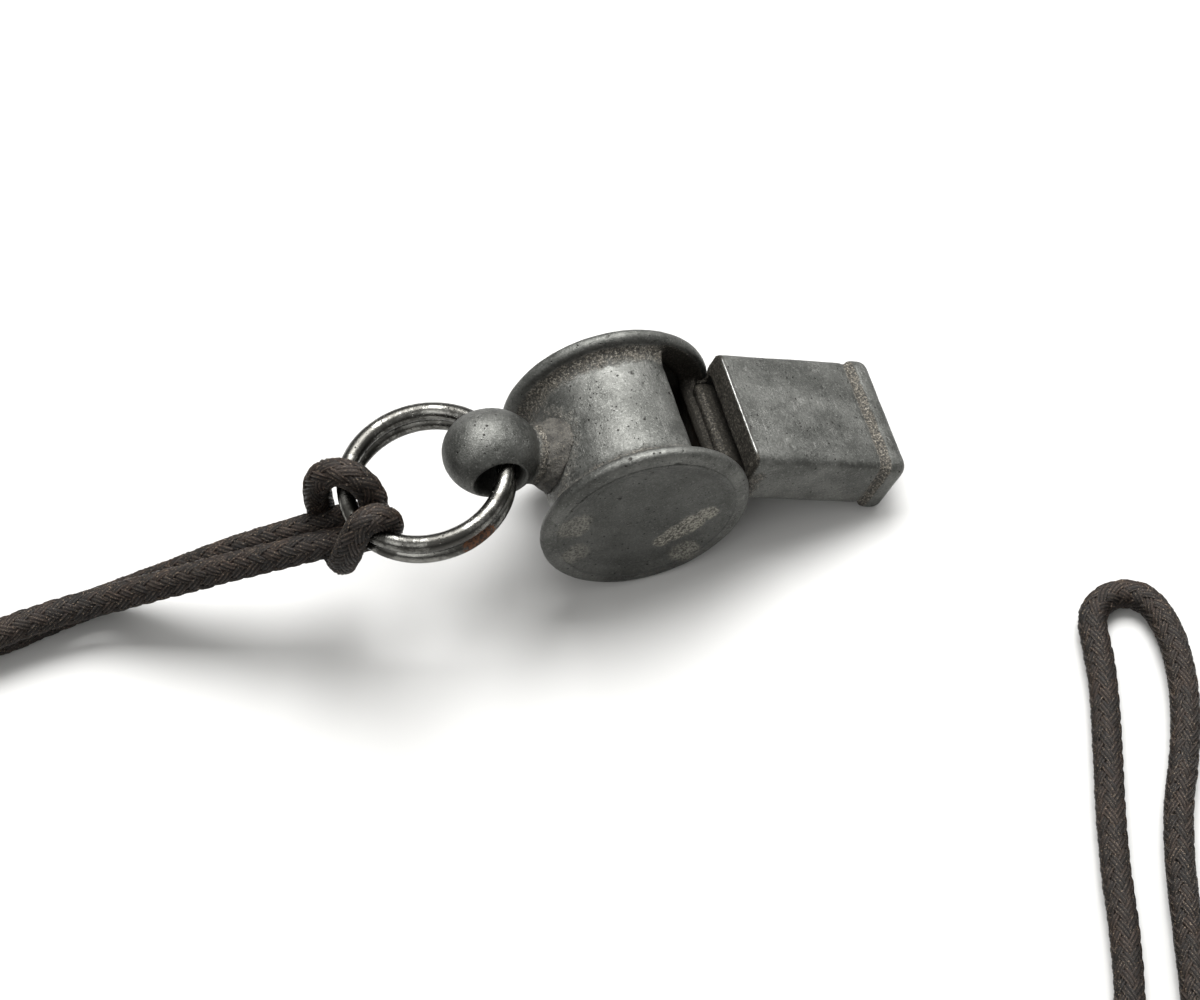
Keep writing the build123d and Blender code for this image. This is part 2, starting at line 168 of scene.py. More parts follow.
# ---------------------------------------------------------------- materials
class Paint:
    """Builds one material from nodes. Its points are in millimetres, on the piece at rest."""

    def __init__(self, name):
        self.material = bpy.data.materials.new(name)
        self.material.use_nodes = True
        self.tree = self.material.node_tree
        self.shader = self.tree.nodes["Principled BSDF"]
        coordinates = self.tree.nodes.new("ShaderNodeTexCoord")
        scaled = self.node("ShaderNodeVectorMath", operation="SCALE")
        self.tree.links.new(coordinates.outputs["Object"], scaled.inputs[0])
        scaled.inputs["Scale"].default_value = 1000.0
        self.place = scaled.outputs[0]

    def node(self, kind, **settings):
        made = self.tree.nodes.new(kind)
        for key, value in settings.items():
            setattr(made, key, value)
        return made

    def feed(self, socket, value):
        if isinstance(value, bpy.types.NodeSocket):
            self.tree.links.new(value, socket)
        elif isinstance(value, tuple) and len(value) == 3 and socket.type == "RGBA":
            socket.default_value = (*value, 1.0)
        else:
            socket.default_value = value

    def math(self, operation, a, b=0.0, clamp=False):
        made = self.node("ShaderNodeMath", operation=operation, use_clamp=clamp)
        self.feed(made.inputs[0], a)
        self.feed(made.inputs[1], b)
        return made.outputs[0]

    def step(self, value, low, high):
        """Rises smoothly from 0 at low to 1 at high, or falls where low is above high."""
        made = self.node("ShaderNodeMapRange", interpolation_type="SMOOTHSTEP")
        self.feed(made.inputs["Value"], value)
        if low > high:
            low, high = high, low
            made.inputs["To Min"].default_value = 1.0
            made.inputs["To Max"].default_value = 0.0
        made.inputs["From Min"].default_value = low
        made.inputs["From Max"].default_value = high
        return made.outputs["Result"]

    def noise(self, size, detail=4.0, rough=0.55, stretch=None, spin=(0.0, 0.0, 0.0), warp=0.0):
        """Noise whose features are about size across."""
        place = self.place
        if stretch is not None:
            mapping = self.node("ShaderNodeMapping")
            self.feed(mapping.inputs["Vector"], place)
            mapping.inputs["Rotation"].default_value = spin
            mapping.inputs["Scale"].default_value = stretch
            place = mapping.outputs[0]
        made = self.node("ShaderNodeTexNoise")
        self.feed(made.inputs["Vector"], place)
        made.inputs["Scale"].default_value = 1.0 / size
        made.inputs["Detail"].default_value = detail
        made.inputs["Roughness"].default_value = rough
        made.inputs["Distortion"].default_value = warp
        return made.outputs["Fac"]

    def cells(self, size, randomness=1.0):
        """Distance to the nearest of scattered points, and that point's random number."""
        made = self.node("ShaderNodeTexVoronoi")
        self.feed(made.inputs["Vector"], self.place)
        made.inputs["Scale"].default_value = 1.0 / size
        made.inputs["Randomness"].default_value = randomness
        parts = self.node("ShaderNodeSeparateColor")
        self.feed(parts.inputs[0], made.outputs["Color"])
        return made.outputs["Distance"], parts.outputs[0]

    def specks(self, size, share, reach):
        """Round specks: 1 in the middle of some of the scattered points, 0 elsewhere."""
        distance, number = self.cells(size)
        return self.math("MULTIPLY", self.step(distance, reach, reach * 0.45), self.step(number, share, share * 0.7))

    def scratches(self, stretch, spin, width):
        """Thin lines along one direction, broken up by a coarser noise."""
        lines = self.noise(1.0, 2.0, 0.5, stretch, spin)
        near = self.math("ABSOLUTE", self.math("SUBTRACT", lines, 0.5))
        return self.math("MULTIPLY", self.step(near, width, 0.0), self.step(self.noise(3.0, 2.0), 0.52, 0.62))

    def near_point(self, point, radius):
        """1 at a point given in millimetres, falling to 0 at a radius."""
        made = self.node("ShaderNodeVectorMath", operation="DISTANCE")
        self.feed(made.inputs[0], self.place)
        made.inputs[1].default_value = tuple(float(x) for x in point)
        return self.step(made.outputs["Value"], radius, radius * 0.25)

    def attribute(self, name):
        return self.node("ShaderNodeAttribute", attribute_name=name).outputs["Fac"]

    def mix(self, share, a, b):
        made = self.node("ShaderNodeMix", data_type="RGBA")
        self.feed(made.inputs[0], share)
        self.feed(made.inputs[6], a)
        self.feed(made.inputs[7], b)
        return made.outputs[2]

    def blend(self, share, a, b):
        made = self.node("ShaderNodeMix", data_type="FLOAT")
        self.feed(made.inputs[0], share)
        self.feed(made.inputs[2], a)
        self.feed(made.inputs[3], b)
        return made.outputs[0]

    def bump(self, *layers):
        """Layers of (height from 0 to 1, depth in millimetres), chained, on the shader's normal."""
        last = None
        for height, depth in layers:
            made = self.node("ShaderNodeBump")
            made.inputs["Strength"].default_value = 1.0
            made.inputs["Distance"].default_value = depth * MM
            self.feed(made.inputs["Height"], height)
            if last is not None:
                self.feed(made.inputs["Normal"], last)
            last = made.outputs[0]
        self.feed(self.shader.inputs["Normal"], last)

    def set(self, name, value):
        self.feed(self.shader.inputs[name], value)


def cast_metal(name, light, dark, grime_tone, scratch_share=1.0, patches=()):
    """Old grey casting: mottled, pitted, scratched, gritty and tan in its hollows, bright on worn edges, with pale
    flecks that are partly painted glints, and near-black painted shade in its recesses.
    """
    paint = Paint(name)
    grime = paint.attribute("grime")
    wear = paint.attribute("wear")
    painted_shade = paint.attribute("painted_shade")
    broad = paint.noise(4.5, 5.0, 0.6)
    middle = paint.noise(0.9, 5.0, 0.65)
    fine = paint.noise(0.24, 4.0, 0.75)
    tone = paint.mix(paint.step(broad, 0.35, 0.66), dark, light)
    cloud = paint.math("MULTIPLY", paint.step(middle, 0.50, 0.72), 0.35)
    tone = paint.mix(cloud, tone, tuple(1.35 * x for x in light))
    shade = paint.math("MULTIPLY", paint.step(fine, 0.50, 0.32), 0.45)
    tone = paint.mix(shade, tone, tuple(0.40 * x for x in dark))
    # Pale flecks of grain, partly painted glints.
    pale_fleck_and_glint = paint.math("MULTIPLY", paint.step(fine, 0.55, 0.70), 0.55)
    tone = paint.mix(pale_fleck_and_glint, tone, tuple(2.2 * x for x in light))
    pits = paint.math("MAXIMUM", paint.specks(0.62, 0.24, 0.24), paint.specks(1.7, 0.16, 0.16))
    pits = paint.math("MAXIMUM", pits, paint.specks(0.36, 0.16, 0.27))
    tone = paint.mix(paint.math("MULTIPLY", pits, 0.85), tone, (0.012, 0.011, 0.010))
    scratch = paint.math(
        "MAXIMUM",
        paint.scratches((0.05, 4.0, 4.0), (0.3, 0.2, 0.9), 0.008),
        paint.scratches((4.0, 0.05, 4.0), (0.5, -0.4, 0.3), 0.007),
    )
    scratch = paint.math("MULTIPLY", scratch, 0.22 * scratch_share)
    tone = paint.mix(scratch, tone, (0.62, 0.61, 0.58))
    # Rubbed patches, where the dark skin is gone and the rough grain beneath shows.
    rubbed = 0.0
    for point, radius, strength in patches:
        edge = paint.math("ADD", paint.near_point(point, 1.35 * radius), paint.math("MULTIPLY", middle, 0.9))
        rubbed = paint.math("MAXIMUM", rubbed, paint.math("MULTIPLY", paint.step(edge, 0.62, 1.15), 0.85 * strength))
    if patches:
        grain = paint.step(paint.noise(0.26, 3.0, 0.7), 0.42, 0.60)
        tone = paint.mix(rubbed, tone, paint.mix(grain, (0.090, 0.086, 0.075), (0.36, 0.345, 0.300)))
    # Grime lies in the hollows, broken up so that its edge is ragged.
    ragged = paint.math("ADD", grime, paint.math("MULTIPLY", paint.math("SUBTRACT", middle, 0.5), 0.9))
    crust = paint.step(ragged, 0.25, 0.75)
    grit = paint.noise(0.24, 4.0, 0.75)
    brown = paint.mix(paint.step(grit, 0.44, 0.58), tuple(0.10 * x for x in grime_tone), grime_tone)
    brown = paint.mix(paint.step(grit, 0.56, 0.66), brown, (0.36, 0.335, 0.29))
    tone = paint.mix(paint.math("MULTIPLY", crust, 0.78), tone, brown)
    rub = paint.math("ADD", wear, paint.math("MULTIPLY", paint.math("SUBTRACT", middle, 0.5), 0.8))
    bright = paint.math("MULTIPLY", paint.step(rub, 0.50, 1.00), 0.70)
    tone = paint.mix(bright, tone, (0.50, 0.50, 0.485))
    # Painted shade: near-black where shade falls inside the drum, the window, the mouthpiece and the lug's hole. The
    # same mask makes those places dull.
    tone = paint.mix(paint.math("MULTIPLY", painted_shade, 0.97), tone, (0.010, 0.009, 0.007))
    paint.set("Base Color", tone)
    paint.set("Specular IOR Level", paint.blend(painted_shade, 0.5, 0.12))
    dull = paint.math("MAXIMUM", crust, painted_shade)
    paint.set("Metallic", paint.blend(dull, 0.94, 0.35))
    rough = paint.math("ADD", 0.44, paint.math("MULTIPLY", paint.step(middle, 0.3, 0.7), 0.14))
    rough = paint.blend(dull, rough, 0.72)
    if patches:
        rough = paint.blend(rubbed, rough, 0.62)
    paint.set("Roughness", paint.math("SUBTRACT", rough, paint.math("MULTIPLY", bright, 0.10)))
    grain_depth = paint.blend(crust, paint.math("MULTIPLY", fine, 0.35), paint.math("MULTIPLY", grit, 1.0))
    paint.bump(
        (middle, 0.06),
        (grain_depth, 0.15),
        (paint.math("MULTIPLY", pits, -1.0), 0.07),
        (paint.math("MULTIPLY", scratch, -1.0), 0.03),
    )
    return paint.material


def solder_material():
    """Brown, gritty old solder and dirt."""
    paint = Paint("old_solder")
    broad = paint.noise(1.3, 4.0, 0.6)
    grit = paint.noise(0.26, 5.0, 0.75)
    tone = paint.mix(paint.step(broad, 0.35, 0.65), (0.024, 0.022, 0.018), (0.076, 0.071, 0.061))
    tone = paint.mix(paint.math("MULTIPLY", paint.step(grit, 0.55, 0.68), 0.65), tone, (0.26, 0.235, 0.195))
    tone = paint.mix(paint.step(grit, 0.46, 0.38), tone, (0.008, 0.007, 0.005))
    paint.set("Base Color", tone)
    paint.set("Metallic", paint.math("MULTIPLY", paint.step(grit, 0.50, 0.66), 0.6))
    paint.set("Roughness", paint.math("ADD", 0.55, paint.math("MULTIPLY", broad, 0.3)))
    paint.bump((broad, 0.20), (grit, 0.22))
    return paint.material


def ring_material():
    """Worn nickel plate: bright, with dark pitting, dark stains along the wire that are partly painted dark
    reflections, and a patch of rust.
    """
    paint = Paint("worn_nickel")
    broad = paint.noise(2.6, 5.0, 0.6)
    spots = paint.noise(0.34, 4.0, 0.7)
    stain_and_painted_reflection = paint.step(paint.math("ADD", broad, paint.math("MULTIPLY", spots, 0.35)), 0.62, 0.74)
    tone = paint.mix(paint.step(broad, 0.35, 0.65), (0.20, 0.197, 0.183), (0.065, 0.064, 0.059))
    pits = paint.math("MAXIMUM", paint.specks(0.42, 0.34, 0.26), paint.step(spots, 0.36, 0.29))
    # Stains, partly painted dark reflections of the surroundings.
    tone = paint.mix(paint.math("MULTIPLY", stain_and_painted_reflection, 0.80), tone, (0.055, 0.053, 0.048))
    tone = paint.mix(pits, tone, (0.022, 0.019, 0.015))
    spot = RING_CENTRE + RING_RADIUS * (math.cos(RUST_ANGLE) * RING_OUT + math.sin(RUST_ANGLE) * RING_SIDE)
    spot = spot - 1.2 * RING_UP
    rust = paint.math("ADD", paint.near_point(spot, 3.6), paint.math("MULTIPLY", spots, 0.9))
    rust = paint.step(rust, 0.92, 1.12)
    tone = paint.mix(rust, tone, paint.mix(paint.step(spots, 0.4, 0.6), (0.014, 0.008, 0.005), (0.11, 0.042, 0.014)))
    paint.set("Base Color", tone)
    dull = paint.math("MAXIMUM", rust, paint.math("MULTIPLY", pits, 0.7))
    paint.set("Metallic", paint.blend(dull, 1.0, 0.15))
    rough = paint.math("ADD", 0.15, paint.math("MULTIPLY", stain_and_painted_reflection, 0.16))
    paint.set("Roughness", paint.blend(dull, rough, 0.75))
    paint.bump((spots, 0.03), (paint.math("MULTIPLY", pits, -1.0), 0.05), (rust, 0.03))
    return paint.material


def cork_material():
    """Cork: warm tan, with dark pores and paler grains."""
    paint = Paint("cork")
    broad = paint.noise(1.6, 4.0, 0.6)
    distance, number = paint.cells(0.55)
    tone = paint.mix(paint.step(number, 0.2, 0.8), (0.34, 0.19, 0.09), (0.50, 0.31, 0.16))
    tone = paint.mix(paint.step(broad, 0.60, 0.72), tone, (0.10, 0.050, 0.022))
    paint.set("Base Color", tone)
    paint.set("Roughness", paint.math("ADD", 0.72, paint.math("MULTIPLY", broad, 0.2)))
    paint.bump((paint.math("MULTIPLY", distance, -1.0), 0.10), (paint.math("MULTIPLY", broad, -1.0), 0.25))
    return paint.material


def cord_material():
    """Dark brown braid of glossy threads, with painted glints on a few fibres and painted shade in the grooves and
    on the core.
    """
    paint = Paint("braided_cord")
    tint = paint.attribute("tint")
    groove = paint.attribute("groove")
    core = paint.attribute("core")
    broad = paint.noise(9.0, 3.0, 0.5)
    fibre = paint.noise(0.13, 3.0, 0.7)
    tone = paint.mix(paint.step(tint, 0.25, 1.0), (0.004, 0.0025, 0.0016), (0.026, 0.014, 0.008))
    tone = paint.mix(paint.math("MULTIPLY", paint.step(broad, 0.4, 0.7), 0.20), tone, (0.028, 0.016, 0.009))
    # Painted glints: pale flecks on the fibres.
    tone = paint.mix(paint.math("MULTIPLY", paint.step(fibre, 0.59, 0.67), 0.90), tone, (0.40, 0.31, 0.22))
    # Painted shade: near-black in the grooves between carriers and on the core.
    tone = paint.mix(paint.math("MULTIPLY", groove, 0.92), tone, (0.0025, 0.0015, 0.001))
    tone = paint.mix(core, tone, (0.002, 0.0015, 0.001))
    paint.set("Base Color", tone)
    rough = paint.math("ADD", 0.16, paint.math("MULTIPLY", fibre, 0.30))
    paint.set("Roughness", paint.blend(paint.math("MAXIMUM", groove, core), rough, 0.95))
    paint.set("Specular IOR Level", 0.34)
    paint.bump((fibre, 0.12))
    return paint.material


def floor_material():
    """Matt pale paper."""
    paint = Paint("floor")
    fine = paint.noise(40.0, 3.0, 0.5)
    paint.set("Base Color", paint.mix(paint.step(fine, 0.3, 0.7), (0.46, 0.458, 0.45), (0.47, 0.468, 0.46)))
    paint.set("Roughness", 0.9)
    paint.set("Specular IOR Level", 0.1)
    return paint.material


# ---------------------------------------------------------------- mesh helpers
def lattice_noise(points, size, seed, octaves=1, rough=0.5):
    """Smooth noise from -1 to 1 with features about size across, the same each run."""
    total = np.zeros(len(points))
    share, weight = 0.0, 1.0
    for octave in range(octaves):
        scaled = points / size * 2.0**octave + 37.3 * octave
        cell = np.floor(scaled).astype(np.int64)
        part = scaled - cell
        part = part * part * (3 - 2 * part)
        value = np.zeros(len(points))
        for corner in range(8):
            step = np.array([corner & 1, corner >> 1 & 1, corner >> 2 & 1])
            at = cell + step
            mixed = (at[:, 0] * 73856093 ^ at[:, 1] * 19349663 ^ at[:, 2] * 83492791 ^ (seed + octave) * 2654435761)
            mixed = (mixed ^ (mixed >> 13)) * 1274126177 & 0x7FFFFFFF
            mixed = (mixed ^ (mixed >> 16)) & 0xFFFFF
            number = mixed / 0xFFFFF * 2 - 1
            value += number * np.prod(np.where(step, part, 1 - part), axis=1)
        total += weight * value
        share += weight
        weight *= rough
    return total / share


def rise(value, low, high):
    """Rises smoothly from 0 at low to 1 at high."""
    part = np.clip((value - low) / (high - low), 0, 1)
    return part * part * (3 - 2 * part)


def new_piece(name, mesh, material, body, slot, *nodes):
    """A visible piece in place of CAD nodes, riding on a body if one is given."""
    piece = bpy.data.objects.new(name, mesh)
    bpy.context.scene.collection.objects.link(piece)
    mesh.materials.append(material)
    mesh.polygons.foreach_set("use_smooth", np.ones(len(mesh.polygons), bool))
    if body:
        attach(piece, body)
    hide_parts(*nodes)
    return piece


def set_attribute(mesh, name, values):
    layer = mesh.attributes.new(name, "FLOAT", "POINT")
    layer.data.foreach_set("value", np.ascontiguousarray(values, np.float32))


def positions(mesh):
    flat = np.zeros(len(mesh.vertices) * 3, np.float32)
    mesh.vertices.foreach_get("co", flat)
    return flat.reshape(-1, 3).astype(float)


def normals(mesh):
    flat = np.zeros(len(mesh.vertices) * 3, np.float32)
    mesh.vertex_normals.foreach_get("vector", flat)
    return flat.reshape(-1, 3).astype(float)


def set_positions(mesh, points):
    mesh.vertices.foreach_set("co", points.astype(np.float32).ravel())
    mesh.update()


class Neighbours:
    """Averages values over each vertex's neighbours."""

    def __init__(self, mesh):
        flat = np.zeros(len(mesh.edges) * 2, np.int64)
        mesh.edges.foreach_get("vertices", flat)
        pairs = flat.reshape(-1, 2)
        self.a = np.r_[pairs[:, 0], pairs[:, 1]]
        self.b = np.r_[pairs[:, 1], pairs[:, 0]]
        self.count = len(mesh.vertices)
        self.degree = np.maximum(np.bincount(self.a, minlength=self.count), 1)

    def mean(self, values):
        if values.ndim == 1:
            return np.bincount(self.a, values[self.b], self.count) / self.degree
        return np.stack([self.mean(values[:, k]) for k in range(values.shape[1])], axis=1)

    def smooth(self, values, rounds, weight=1.0, strength=0.5):
        weight = np.asarray(weight) * strength
        if values.ndim == 2 and weight.ndim == 1:
            weight = weight[:, None]
        for _ in range(rounds):
            values = values + weight * (self.mean(values) - values)
        return values


def remeshed(node, voxel):
    """An even, closed mesh of a CAD node's shape, in millimetres."""
    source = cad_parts[node].data
    shape = bmesh.new()
    shape.from_mesh(source)
    bmesh.ops.scale(shape, vec=(1000.0,) * 3, verts=shape.verts)
    bmesh.ops.remove_doubles(shape, verts=shape.verts, dist=0.002)
    merged = bpy.data.meshes.new("merged")
    shape.to_mesh(merged)
    shape.free()
    holder = bpy.data.objects.new("holder", merged)
    bpy.context.scene.collection.objects.link(holder)
    modifier = holder.modifiers.new("remesh", "REMESH")
    modifier.mode = "VOXEL"
    modifier.voxel_size = voxel
    modifier.adaptivity = 0.0
    graph = bpy.context.evaluated_depsgraph_get()
    result = bpy.data.meshes.new_from_object(holder.evaluated_get(graph), depsgraph=graph)
    bpy.data.objects.remove(holder)
    bpy.data.meshes.remove(merged)
    return result


def cast_piece(name, node, body, slot, material, voxel, shape, soften=3, hollow_size=1.1):
    """A CAD node's shape with softened edges, cast relief, and its hollows and worn edges marked."""
    mesh = remeshed(node, voxel)
    around = Neighbours(mesh)
    points = around.smooth(positions(mesh), soften)
    points, marks = shape(points, around)
    set_positions(mesh, points)
    facing = normals(mesh)
    rounds = int(2 * (hollow_size / voxel) ** 2 / 2)
    level = np.einsum("ij,ij->i", around.smooth(points, rounds) - points, facing)
    sharp = np.einsum("ij,ij->i", around.smooth(points, 6) - points, facing)
    grime = np.clip(rise(level, 0.03, 0.22) + marks.get("grime", 0.0), 0, 1)
    # Painted shade from the shape's marks, passed to the material. Worn edges are left out where it lies.
    painted_shade = np.broadcast_to(np.clip(marks.get("painted_shade", 0.0), 0, 1), len(points))
    edges = rise(-sharp, 0.010, 0.06) * marks.get("edge_wear", 0.65)
    wear = np.clip(edges + marks.get("wear", 0.0), 0, 1) * (1 - 0.7 * grime) * (1 - painted_shade)
    relief = marks.get("relief", 0.0)
    relief = relief + 0.035 * lattice_noise(points, 2.6, 3, 2)
    relief = relief + (0.012 + 0.050 * grime) * lattice_noise(points, 0.55, 11, 2)
    set_positions(mesh, points + facing * np.asarray(relief)[:, None])
    mesh.transform(Matrix.Scale(MM, 4))
    set_attribute(mesh, "grime", grime)
    set_attribute(mesh, "wear", wear)
    set_attribute(mesh, "painted_shade", painted_shade)
    return new_piece(name, mesh, material, body, slot, node)


def dents(points, places):
    """How far the listed dents sink the surface: (point, radius, depth) each."""
    total = np.zeros(len(points))
    for point, radius, depth in places:
        total -= depth * np.exp(-np.sum((points - point) ** 2, axis=1) / radius**2)
    return total


def tube(name, line, radii, sides):
    """A closed tube along points in millimetres, one radius per point."""
    line = np.asarray(line, float)
    along = np.gradient(line, axis=0)
    along /= np.linalg.norm(along, axis=1)[:, None]
    side = carried_sides(along)
    other = np.cross(along, side)
    angles = np.linspace(0, 2 * math.pi, sides, endpoint=False)
    ring = side[:, None] * np.cos(angles)[None, :, None] + other[:, None] * np.sin(angles)[None, :, None]
    points = line[:, None] + ring * np.asarray(radii)[:, None, None]
    count = len(line)
    faces = grid_faces(count, sides)
    faces.append(tuple(range(sides))[::-1])
    faces.append(tuple((count - 1) * sides + k for k in range(sides)))
    mesh = bpy.data.meshes.new(name)
    mesh.from_pydata([tuple(p) for p in points.reshape(-1, 3)], [], faces)
    mesh.update()
    return mesh


def carried_sides(along):
    """A direction square to a line at each point, carried along it without twist."""
    first = np.cross(along[0], [0.0, 0.0, 1.0])
    if np.linalg.norm(first) < 0.1:
        first = np.cross(along[0], [1.0, 0.0, 0.0])
    sides = np.zeros_like(along)
    sides[0] = first / np.linalg.norm(first)
    for k in range(1, len(along)):
        carried = sides[k - 1] - along[k] * (sides[k - 1] @ along[k])
        sides[k] = carried / np.linalg.norm(carried)
    return sides


def grid_faces(rows, columns, start=0):
    """Quads between rows of vertices, each row closed on itself."""
    faces = []
    for row in range(rows - 1):
        low = start + row * columns
        for k in range(columns):
            after = (k + 1) % columns
            faces.append((low + k, low + after, low + columns + after, low + columns + k))
    return faces


# ---------------------------------------------------------------- lanyard
# One cord: from the middle of its hitch's band, round the ring and down the far leg, once and a half
# round the put-away coil, out to the fold at the right and back, and the same again along the near leg.
HITCH_FAR = [
    (-31.1, -0.9, 11.6),
    (-31.2, 1.8, 11.6),
    (-31.5, 3.2, 14.1),
    (-31.5, 2.9, 18.1),
    (-30.6, 2.4, 21.3),
    (-28.6, 1.2, 22.6),
    (-26.7, 0.1, 21.1),
    (-25.9, -0.5, 17.2),
    (-27.2, 0.4, 14.3),
    (-30.2, 1.3, 14.0),
]
LEG_FAR = [
    (-34.2, 1.6, 13.2),
    (-37.4, 2.4, 11.9),
    (-41.5, 3.5, 10.0),
    (-46.5, 4.6, 7.4),
    (-51.5, 6.0, 4.4),
    (-56.7, 7.2, 1.7),
    (-62.0, 6.6, 1.6),
    (-68.1, 5.4, 1.6),
    (-75.0, 6.0, 1.6),
    (-83.0, 7.5, 1.6),
    (-91.0, 7.9, 1.6),
]
LEG_NEAR = [
    (-34.8, -1.5, 14.3),
    (-38.0, -0.5, 13.0),
    (-41.8, 0.7, 11.3),
    (-46.5, 2.0, 9.4),
    (-51.5, 3.6, 7.0),
    (-56.5, 5.0, 4.9),
    (-62.0, 5.1, 4.7),
    (-67.6, 4.6, 4.7),
    (-73.5, 3.8, 3.9),
    (-79.5, 3.7, 2.0),
    (-86.0, 4.2, 1.6),
    (-92.0, 4.5, 1.6),
]
HITCH_NEAR = [
    (-31.1, -0.9, 11.6),
    (-30.8, -3.1, 12.3),
    (-30.6, -4.3, 14.9),
    (-29.8, -5.3, 18.0),
    (-28.7, -5.2, 21.0),
    (-27.2, -4.9, 22.2),
    (-25.4, -4.6, 20.5),
    (-25.2, -3.8, 16.9),
    (-27.2, -2.6, 14.9),
    (-30.0, -2.1, 15.0),
]
COIL_CENTRE = (-98.0, -12.0)
COIL_OUTER = 19.65         # radii of the coil's two strands
COIL_INNER = 16.35
COIL_STEP = 24.0           # degrees between the points of a turn
COIL_TURNED = 540          # degrees that a strand goes round
CLIMB_START = 285          # degrees at which it climbs onto the layer below
CLIMB_SPAN = 48
LAYER = 3.2
BIGHT_INNER_START = [(-92.5, -29.2, 4.8), (-87.8, -31.4, 4.3), (-83.5, -34.4, 2.6)]
BIGHT_OUTER_START = [(-92.5, -33.0, 4.7), (-88.3, -36.2, 3.0), (-85.0, -39.2, 1.7)]
BIGHT = [
    (-78.0, -38.2, 1.65),
    (-69.0, -43.2, 1.65),
    (-59.0, -48.4, 1.6),
    (-47.0, -54.8, 1.65),
    (-36.0, -61.6, 1.6),
    (-24.0, -69.5, 1.65),
    (-10.0, -79.0, 1.6),
    (5.0, -87.0, 1.65),
    (19.0, -87.0, 1.6),
    (29.0, -79.0, 1.65),
    (33.5, -66.0, 1.6),
    (36.3, -53.5, 1.65),
    (39.7, -43.0, 1.6),
    (42.0, -35.6, 1.65),
    (43.0, -30.6, 1.6),
    (43.5, -27.3, 1.65),
    (45.5, -25.5, 1.6),
    (48.2, -25.5, 1.65),
    (50.3, -27.3, 1.6),
    (50.9, -31.6, 1.65),
    (50.1, -37.6, 1.6),
    (47.6, -44.8, 1.65),
    (43.3, -53.0, 1.6),
    (39.7, -66.5, 1.65),
    (36.0, -81.0, 1.6),
    (25.0, -91.5, 1.65),
    (9.0, -93.8, 1.6),
    (-3.0, -90.0, 1.65),
    (-13.5, -83.6, 1.6),
    (-26.0, -74.4, 1.65),
    (-38.0, -66.0, 1.6),
    (-49.0, -58.7, 1.65),
    (-61.0, -52.3, 1.6),
    (-71.0, -47.1, 1.65),
    (-80.0, -42.1, 1.6),
]


def coil_turns(radius):
    """Points of one and a half turns: a turn on the surface, then half a turn on top of it."""
    points = []
    for k in range(int(COIL_TURNED / COIL_STEP) + 1):
        turned = k * COIL_STEP
        angle = math.radians(90 + turned)
        climb = min(max((turned - CLIMB_START) / CLIMB_SPAN, 0), 1)
        reach = radius + 0.25 * math.sin(1.7 * angle)
        points.append(
            (
                COIL_CENTRE[0] + reach * math.cos(angle),
                COIL_CENTRE[1] + reach * math.sin(angle),
                CORD_DIAMETER / 2 + LAYER * climb,
            )
        )
    return points


def closed_route():
    """The whole cord's control points, from the hitch's band round to the band again."""
    outer = coil_turns(COIL_OUTER)
    inner = coil_turns(COIL_INNER)
    there = HITCH_FAR + LEG_FAR + outer + BIGHT_OUTER_START
    back = HITCH_NEAR + LEG_NEAR + inner + BIGHT_INNER_START
    return there + BIGHT[::-1] + back[::-1]


def route_line(points):
    """Points read from a smooth open spline that has the route's points as its control points."""
    data = bpy.data.curves.new("lanyard_route", "CURVE")
    data.dimensions = "3D"
    data.resolution_u = 12
    spline = data.splines.new("NURBS")
    spline.points.add(len(points) - 1)
    for control, (x, y, z) in zip(spline.points, points):
        control.co = (x * MM, y * MM, z * MM, 1.0)
    spline.order_u = 3
    spline.use_endpoint_u = True
    holder = bpy.data.objects.new("lanyard_route", data)
    bpy.context.scene.collection.objects.link(holder)
    graph = bpy.context.evaluated_depsgraph_get()
    line = bpy.data.meshes.new_from_object(holder.evaluated_get(graph), depsgraph=graph)
    read = positions(line) / MM
    bpy.data.objects.remove(holder)
    bpy.data.meshes.remove(line)
    return read


CARRIERS = 8               # threads' carriers each way round
BRAID_PITCH = 14.3         # one turn of a carrier
BRAID_SAMPLE = 0.5
CARRIER_WIDTH = 1.10
BRAID_MIDDLE = 1.27
BRAID_LIFT = 0.15
# A carrier's section: across its width, height, and how deep in a groove the point lies, which the material darkens
# as painted shade.
CARRIER_SECTION = [
    (-0.50, -0.12, 1.0),
    (-0.335, 0.15, 0.0),
    (-0.170, -0.03, 1.0),
    (0.0, 0.18, 0.0),
    (0.170, -0.03, 1.0),
    (0.335, 0.15, 0.0),
    (0.50, -0.12, 1.0),
    (0.0, -0.20, 1.0),
]


def wobble(chance, stations, spacing):
    """A random value at each station that changes smoothly over a spacing."""
    marks = np.arange(0, stations[-1] + (spacing + 1), spacing)
    return np.interp(stations, marks, chance.normal(0, 1, len(marks)))


